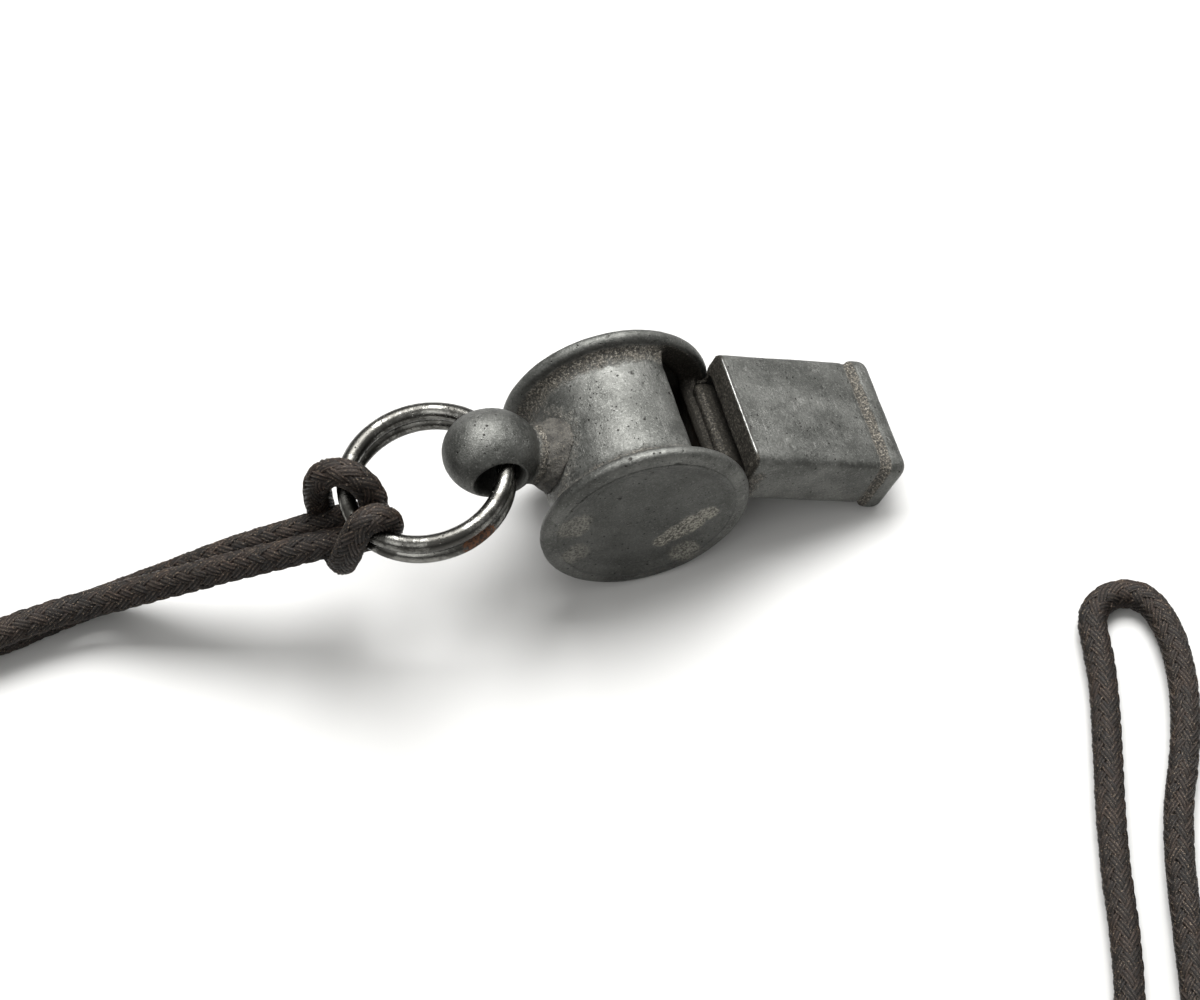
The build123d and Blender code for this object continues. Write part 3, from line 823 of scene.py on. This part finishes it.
def braid(line):
    """The braid as one mesh: two sets of carriers, each over two and under two, round a core that the material
    paints near-black as shade.
    """
    run = np.r_[0, np.cumsum(np.linalg.norm(np.diff(line, axis=0), axis=1))]
    length = run[-1]
    stations = np.linspace(0, length, int(length / BRAID_SAMPLE) + 1)
    line = np.stack([np.interp(stations, run, line[:, k]) for k in range(3)], axis=1)
    for _ in range(3):
        line[1:-1] += 0.25 * (line[:-2] - 2 * line[1:-1] + line[2:])
    along = np.gradient(line, axis=0)
    along /= np.linalg.norm(along, axis=1)[:, None]
    side = carried_sides(along)
    other = np.cross(along, side)
    chance = np.random.default_rng(7)
    points, faces, tint, groove, core = [], [], [], [], []
    columns = len(CARRIER_SECTION)
    lean = math.atan(2 * math.pi * BRAID_MIDDLE / BRAID_PITCH)
    for way in (1, -1):
        for carrier in range(CARRIERS):
            crossing = 2 * CARRIERS * stations / BRAID_PITCH
            phase = crossing + 2 * carrier if way > 0 else 2 * carrier - crossing
            wave = way * np.cos(2 * math.pi * (phase - 0.5) / 4)
            lift = BRAID_LIFT * np.tanh(2.0 * wave) / math.tanh(2.0)
            wander = wobble(chance, stations, 5.0)
            swell = wobble(chance, stations, 3.0)
            angle = 2 * math.pi * carrier / CARRIERS + way * 2 * math.pi * stations / BRAID_PITCH + 0.05 * wander
            colours = chance.uniform(0, 1, 3)
            start = sum(len(p) for p in points)
            block = np.zeros((len(stations), columns, 3))
            for k, (q, height, depth) in enumerate(CARRIER_SECTION):
                across = q * CARRIER_WIDTH
                at = np.clip(stations - way * across * math.sin(lean), 0, length)
                turned = angle + across * math.cos(lean) / BRAID_MIDDLE
                reach = BRAID_MIDDLE + lift + height + 0.025 * swell
                centre, s, o = [
                    np.stack([np.interp(at, stations, v[:, i]) for i in range(3)], axis=1)
                    for v in (line, side, other)
                ]
                facing = s * np.cos(turned)[:, None] + o * np.sin(turned)[:, None]
                block[:, k] = centre + facing * reach[:, None]
                drift = 0.5 + 0.5 * np.sin(stations * 0.9 + 3 * k)
                tint.append(colours[min(int((q + 0.5) * 3), 2)] * 0.6 + 0.4 * drift)
                groove.append(np.full(len(stations), depth))
            points.append(block.reshape(-1, 3))
            size = len(stations) * columns
            tint[-columns:] = [np.stack(tint[-columns:], axis=1).ravel()]
            groove[-columns:] = [np.stack(groove[-columns:], axis=1).ravel()]
            core.append(np.zeros(size))
            faces += grid_faces(len(stations), columns, start)
            faces.append(tuple(start + k for k in range(columns))[::-1])
            faces.append(tuple(start + size - columns + k for k in range(columns)))
    # Core, painted near-black as the shade between the carriers.
    sides = 8
    start = sum(len(p) for p in points)
    turns = np.linspace(0, 2 * math.pi, sides, endpoint=False)
    few = slice(None, None, 3)
    block = line[few, None] + (
        side[few, None] * np.cos(turns)[None, :, None] + other[few, None] * np.sin(turns)[None, :, None]
    ) * 1.12
    points.append(block.reshape(-1, 3))
    faces += grid_faces(len(block), sides, start)
    faces.append(tuple(start + k for k in range(sides))[::-1])
    faces.append(tuple(start + (len(block) - 1) * sides + k for k in range(sides)))
    tint.append(np.zeros(len(block) * sides))
    groove.append(np.ones(len(block) * sides))
    core.append(np.ones(len(block) * sides))
    everything = np.concatenate(points)
    everything[:, 2] = np.maximum(everything[:, 2], 0.0)
    mesh = bpy.data.meshes.new("braided_lanyard")
    mesh.from_pydata((everything * MM).tolist(), [], faces)
    mesh.update()
    set_attribute(mesh, "tint", np.concatenate(tint))
    set_attribute(mesh, "groove", np.concatenate(groove))
    set_attribute(mesh, "core", np.concatenate(core))
    return mesh, line, length


cord_mesh, cord_line, cord_length = braid(route_line(closed_route()))
print(f"cord length {cord_length:.1f} mm, {len(cord_mesh.vertices)} vertices")
lanyard = new_piece(
    "braided_lanyard",
    cord_mesh,
    cord_material(),
    None,
    "cord",
    "lanyard_hitch",
    "lanyard_leg_far",
    "lanyard_leg_near",
    "lanyard_bight",
    "lanyard_coil",
)
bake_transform(lanyard)

# ---------------------------------------------------------------- whistle
floor_mesh.materials.append(floor_material())
GREY = (0.122, 0.123, 0.115)
DARK = (0.066, 0.067, 0.062)
TAN = (0.130, 0.113, 0.087)
disc_patches = [
    (in_whistle(3.5, -3.3, -8.5), 1.2, 1.0),
    (in_whistle(4.5, -1.8, -8.5), 1.6, 1.0),
    (in_whistle(5.6, -0.2, -8.5), 1.7, 1.0),
    (in_whistle(6.7, 1.5, -8.5), 1.4, 0.9),
    (in_whistle(7.1, -5.0, -8.4), 1.9, 0.6),
    (in_whistle(-7.9, -1.6, -8.4), 2.1, 0.5),
    (in_whistle(-5.7, -6.1, -8.4), 1.7, 0.45),
    (in_whistle(-3.8, 0.8, 8.5), 2.4, 0.8),
    (in_whistle(-2.2, 2.9, 8.5), 1.8, 0.7),
    (in_whistle(4.6, -3.6, 8.4), 1.9, 0.6),
]
body_metal = cast_metal("cast_metal", GREY, DARK, TAN, 1.0, disc_patches)
disc_metal = cast_metal("disc_metal", (0.094, 0.095, 0.089), (0.064, 0.065, 0.060), TAN, 0.5, disc_patches)
solder = solder_material()


def drum_shape(points, around):
    """Soft round rims, gritty flares, and painted shade darkening the inside and the window's throat."""
    ahead, up, over = whistle_coordinates(points)
    far = np.hypot(ahead, up)
    rims = rise(far, 9.6, 10.2) * rise(np.abs(over), 6.3, 6.9)
    points = around.smooth(points, 22, rims)
    ahead, up, over = whistle_coordinates(points)
    far = np.hypot(ahead, up)
    flare = rise(np.abs(over), 4.4, 6.4) * rise(-np.abs(over), -7.3, -7.0)
    flare = flare * rise(-far, -10.9, -10.2) * rise(far, 8.6, 9.1)
    neck = rise(-np.hypot(up - LUG_Z, over), -6.6, -4.6) * rise(-ahead, 6.0, 8.0)
    # Painted shade inside the drum and in the window's throat. The throat is gritty too.
    inside = rise(-far, -8.6, -8.2) * rise(-np.abs(over), -7.6, -7.4)
    sill = rise(ahead, 5.2, 5.8) * rise(up, 3.4, 3.9) * rise(-far, -9.6, -9.2) * rise(-np.abs(over), -7.4, -6.9)
    cheeks = rise(ahead, 1.2, 2.6) * rise(up, 2.8, 3.6) * rise(-far, -10.9, -10.5) * rise(-np.abs(over), -7.3, -7.0)
    throat = np.maximum(sill, cheeks * rise(np.abs(over), 6.3, 6.8))
    places = [
        (in_whistle(-1.1, 9.6, -8.3), 0.45, 0.22),
        (in_whistle(-0.3, 9.9, -8.2), 0.30, 0.18),
        (in_whistle(-6.9, 8.2, -8.2), 0.35, 0.12),
        (in_whistle(-9.6, 4.0, -8.3), 0.50, 0.16),
        (in_whistle(5.2, 9.8, -8.3), 0.30, 0.12),
        (in_whistle(-3.9, 8.5, 1.2), 0.28, 0.10),
        (in_whistle(-1.2, 9.1, 2.6), 0.22, 0.10),
    ]
    # A bright line along the edge that the air strikes.
    edge = np.exp(-((ahead - 2.1) ** 2 + (up - 9.0) ** 2) / 0.22**2)
    crown = 0.20 * rise(far, 10.9, 11.4) * rise(-up, 4.0, 9.0)
    return points, {
        "grime": 0.66 * flare + 0.42 * neck + throat,
        "wear": 0.5 * edge + crown,
        "edge_wear": 0.65 * (1 - rise(-far, -9.8, -9.5) * rise(np.abs(over), 7.9, 8.2)),
        "painted_shade": 0.85 * inside + 0.86 * throat,
        "relief": dents(points, places) + 0.05 * flare * lattice_noise(points, 0.9, 21, 2),
    }


def mouthpiece_shape(points, around):
    """A groove behind the bead, a worn rear edge, a rough rear wall that is gritty and darkened with painted shade,
    painted shade inside the tube, and soft corners.
    """
    ahead, up, over = whistle_coordinates(points)
    corner = np.maximum(rise(np.abs(over), 5.4, 6.6) * rise(ahead, 10.4, 11.4), rise(ahead, 25.2, 25.8))
    points = around.smooth(points, 10, corner)
    ahead, up, over = whistle_coordinates(points)
    inside = rise(-np.abs(over), -6.6, -6.45) * rise(up, 3.4, 3.8) * rise(-up, -8.8, -8.55) * rise(ahead, 9.6, 10.6)
    outside = 1 - inside
    groove = np.exp(-((ahead - (LIP_X - BEAD_LENGTH - 0.25)) / 0.50) ** 2) * outside
    band = rise(ahead, 24.5, 25.2) * rise(-ahead, -26.3, -25.9) * outside
    rear = rise(-ahead, -9.75, -9.45)
    edge = np.exp(-((ahead - WINDOW_FRONT) ** 2 + (up - MOUTH_TOP) ** 2) / 0.20**2) * rise(-np.abs(over), -6.9, -6.0)
    heel = rise(-ahead, -12.6, -10.6) * rise(np.abs(over), 6.9, 7.2) * rise(-up, -8.6, -7.0)
    places = [
        (in_whistle(27.6, 9.7, -2.0), 0.30, 0.14),
        (in_whistle(27.9, 9.3, 1.9), 0.26, 0.10),
        (in_whistle(13.4, 9.64, -4.4), 0.40, 0.10),
        (in_whistle(14.1, 9.64, -5.2), 0.30, 0.10),
        (in_whistle(17.0, 9.64, 1.0), 0.45, 0.07),
        (in_whistle(19.8, 9.2, -7.3), 0.40, 0.10),
        (in_whistle(11.2, 9.2, -7.3), 0.45, 0.14),
    ]
    # The rear wall and the tube's inside get grit and painted shade.
    wall = rear * (1 - edge)
    band = band * (0.90 + 0.6 * lattice_noise(points, 1.8, 17, 2))
    return points, {
        "grime": band + 0.9 * wall + 0.6 * heel + 0.6 * inside,
        "wear": 1.2 * edge,
        "painted_shade": 0.85 * inside + 0.74 * wall,
        "relief": dents(points, places) - 0.20 * groove + 0.06 * rear * lattice_noise(points, 0.7, 5, 2),
    }


def lug_shape(points, around):
    """Smooth over the ball, rough round the neck, with painted shade darkening the hole's inside."""
    ahead, up, _ = whistle_coordinates(points)
    neck = rise(ahead, -12.6, -11.0)
    # Painted shade inside the hole.
    bore = rise(-np.hypot(ahead - LUG_X, up - LUG_Z), -2.75, -2.5)
    a, b = in_whistle(-14.9, 4.25, -1.3), in_whistle(-14.0, 4.0, -2.8)
    along = np.clip((points - a) @ (b - a) / ((b - a) @ (b - a)), 0, 1)
    scratch = np.exp(-np.sum((points - a - along[:, None] * (b - a)) ** 2, axis=1) / 0.17**2)
    places = [
        (in_whistle(-17.6, 3.4, -2.8), 0.24, 0.14),
        (in_whistle(-15.8, 4.2, -2.0), 0.18, 0.12),
        (in_whistle(-18.6, 2.6, -0.6), 0.22, 0.10),
        (in_whistle(-14.6, 3.3, -3.4), 0.20, 0.12),
    ]
    return points, {
        "grime": 0.8 * neck,
        "wear": 2.2 * scratch,
        "painted_shade": 0.6 * bore,
        "relief": dents(points, places) + 0.06 * neck * lattice_noise(points, 0.8, 31, 2),
    }


def disc_shape(points, around):
    """Left as it is, without worn edges."""
    return points, {"edge_wear": 0.0}


def lumpy_shape(points, around):
    """Solder run by hand, with lumps and hollows."""
    return points, {"relief": 0.16 * lattice_noise(points, 1.2, 41, 3, 0.6) + 0.02}


def floor_shape(points, around):
    """The windway's floor, gritty and darkened with painted shade, less so on the ridge where it is struck."""
    ahead, _, _ = whistle_coordinates(points)
    ridge = 0.25 * rise(-np.abs(ahead - 8.5), -0.5, -0.2)
    # Painted shade over the whole floor, lighter on the ridge.
    return points, {"grime": 1.0, "painted_shade": 0.88 - ridge + 0.1 * rise(ahead, 9.0, 11.0), "edge_wear": 0.1}


cast_piece("drum", "barrel", "whistle", "cast_metal", body_metal, 0.20, drum_shape)
cast_piece("mouth_tube", "mouthpiece", "whistle", "cast_metal", body_metal, 0.19, mouthpiece_shape, 2)
cast_piece("lug_ball", "lug", "whistle", "cast_metal", body_metal, 0.15, lug_shape, 4)
cast_piece("windway_wedge", "windway_floor", "whistle", "cast_metal", body_metal, 0.22, floor_shape, 2)
cast_piece("near_disc", "right_end_disc", "whistle", "end_disc", disc_metal, 0.20, disc_shape, 5)
cast_piece("far_disc", "left_end_disc", "whistle", "end_disc", disc_metal, 0.20, disc_shape, 5)
cast_piece("neck_solder", "lug_solder", "whistle", "solder", solder, 0.14, lumpy_shape, 2)
cast_piece("heel_solder", "mouthpiece_solder", "whistle", "solder", solder, 0.14, lumpy_shape, 2)


CREASE_ANGLE = 2.37        # middle of the dark crease, round the drum from straight ahead, in radians
CREASE_WIDTH = 0.60


def seam_mesh(side, seed):
    """An uneven run of solder in the gap between a disc and its rim."""
    stations = 360
    section = [
        (-1.10, -0.9),
        (-1.05, -0.03),
        (-0.70, 0.026),
        (-0.40, 0.070),
        (-0.15, 0.125),
        (0.0, 0.165),
        (0.15, 0.205),
        (0.35, 0.26),
        (0.65, 0.30),
        (0.90, 0.27),
        (0.95, -0.9),
    ]
    middle = (DISC_RADIUS + DISC_SEAT_RADIUS) / 2
    angles = np.linspace(0, 2 * math.pi, stations, endpoint=False)
    circle = np.stack([np.cos(angles), np.sin(angles), np.zeros(stations)], axis=1)
    lumps = lattice_noise(circle * middle, 1.1, seed, 3, 0.6)
    points = []
    for angle, lump in zip(angles, lumps):
        for k, (out, lift) in enumerate(section):
            radius = middle + out
            crease = math.exp(-(((angle - CREASE_ANGLE) / CREASE_WIDTH) ** 2)) * math.exp(-((out / 0.2) ** 2))
            buried = k in (0, len(section) - 1)
            height = DISC_EDGE + lift + (0.0 if buried else 0.012 * lump - 0.22 * crease)
            points.append(in_whistle(radius * math.cos(angle), radius * math.sin(angle), side * height) * MM)
    columns = len(section)
    faces = []
    for row in range(stations):
        after = (row + 1) % stations
        for k in range(columns):
            beside = (k + 1) % columns
            quad = (row * columns + k, row * columns + beside, after * columns + beside, after * columns + k)
            faces.append(quad if side < 0 else quad[::-1])
    mesh = bpy.data.meshes.new("seam")
    mesh.from_pydata([tuple(p) for p in points], [], faces)
    mesh.update()
    return mesh


new_piece("near_disc_seam", seam_mesh(-1, 51), disc_metal, "whistle", "solder", "right_disc_seam")
new_piece("far_disc_seam", seam_mesh(1, 61), disc_metal, "whistle", "solder", "left_disc_seam")


# ---------------------------------------------------------------- split ring
CROSSING_START = -6.0      # degrees from the ring's outermost point, where one turn climbs to the other
CROSSING_SPAN = 42.0


def split_ring_mesh():
    """Two turns of one wire, with its two cut ends each side of the crossing."""
    start = CROSSING_START + CROSSING_SPAN
    finish = CROSSING_START + 720
    angles = np.radians(np.linspace(start, finish, 700))
    climb = rise(np.degrees(angles), CROSSING_START + 360, CROSSING_START + 360 + CROSSING_SPAN)
    level = WIRE_PITCH * (climb - 0.5)
    line = (
        RING_CENTRE
        + RING_RADIUS * (np.cos(angles)[:, None] * RING_OUT + np.sin(angles)[:, None] * RING_SIDE)
        + level[:, None] * RING_UP
    )
    radii = np.full(len(angles), WIRE_RADIUS)
    radii[[0, -1]] *= 0.80
    radii[[1, -2]] *= 0.93
    mesh = tube("split_ring_wire", line, radii, 28)
    points = positions(mesh)
    facing = normals(mesh)
    dent = np.minimum(lattice_noise(points, 0.7, 71, 3, 0.6) + 0.25, 0) * 0.05
    wave = 0.012 * lattice_noise(points, 3.0, 81)
    set_positions(mesh, (points + facing * (dent + wave)[:, None]) * MM)
    return mesh


new_piece("split_ring_wire", split_ring_mesh(), ring_material(), "ring", "ring_steel", "split_ring")


# ---------------------------------------------------------------- pea
def pea_mesh():
    """A cork ball, slightly out of round, with open pores."""
    ball = bmesh.new()
    bmesh.ops.create_icosphere(ball, subdivisions=6, radius=PEA_RADIUS)
    mesh = bpy.data.meshes.new("cork_ball")
    ball.to_mesh(mesh)
    ball.free()
    low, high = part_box("cork_pea")
    centre = np.array((low + high) / 2) / MM
    points = positions(mesh)
    facing = points / np.linalg.norm(points, axis=1)[:, None]
    pores = np.minimum(lattice_noise(points, 0.8, 91, 2) + 0.22, 0) * 0.55
    shape = 0.06 * lattice_noise(points, 3.0, 95) - 0.06
    set_positions(mesh, (centre + points + facing * (pores + shape)[:, None]) * MM)
    return mesh


new_piece("cork_ball", pea_mesh(), cork_material(), "pea", "cork", "cork_pea")
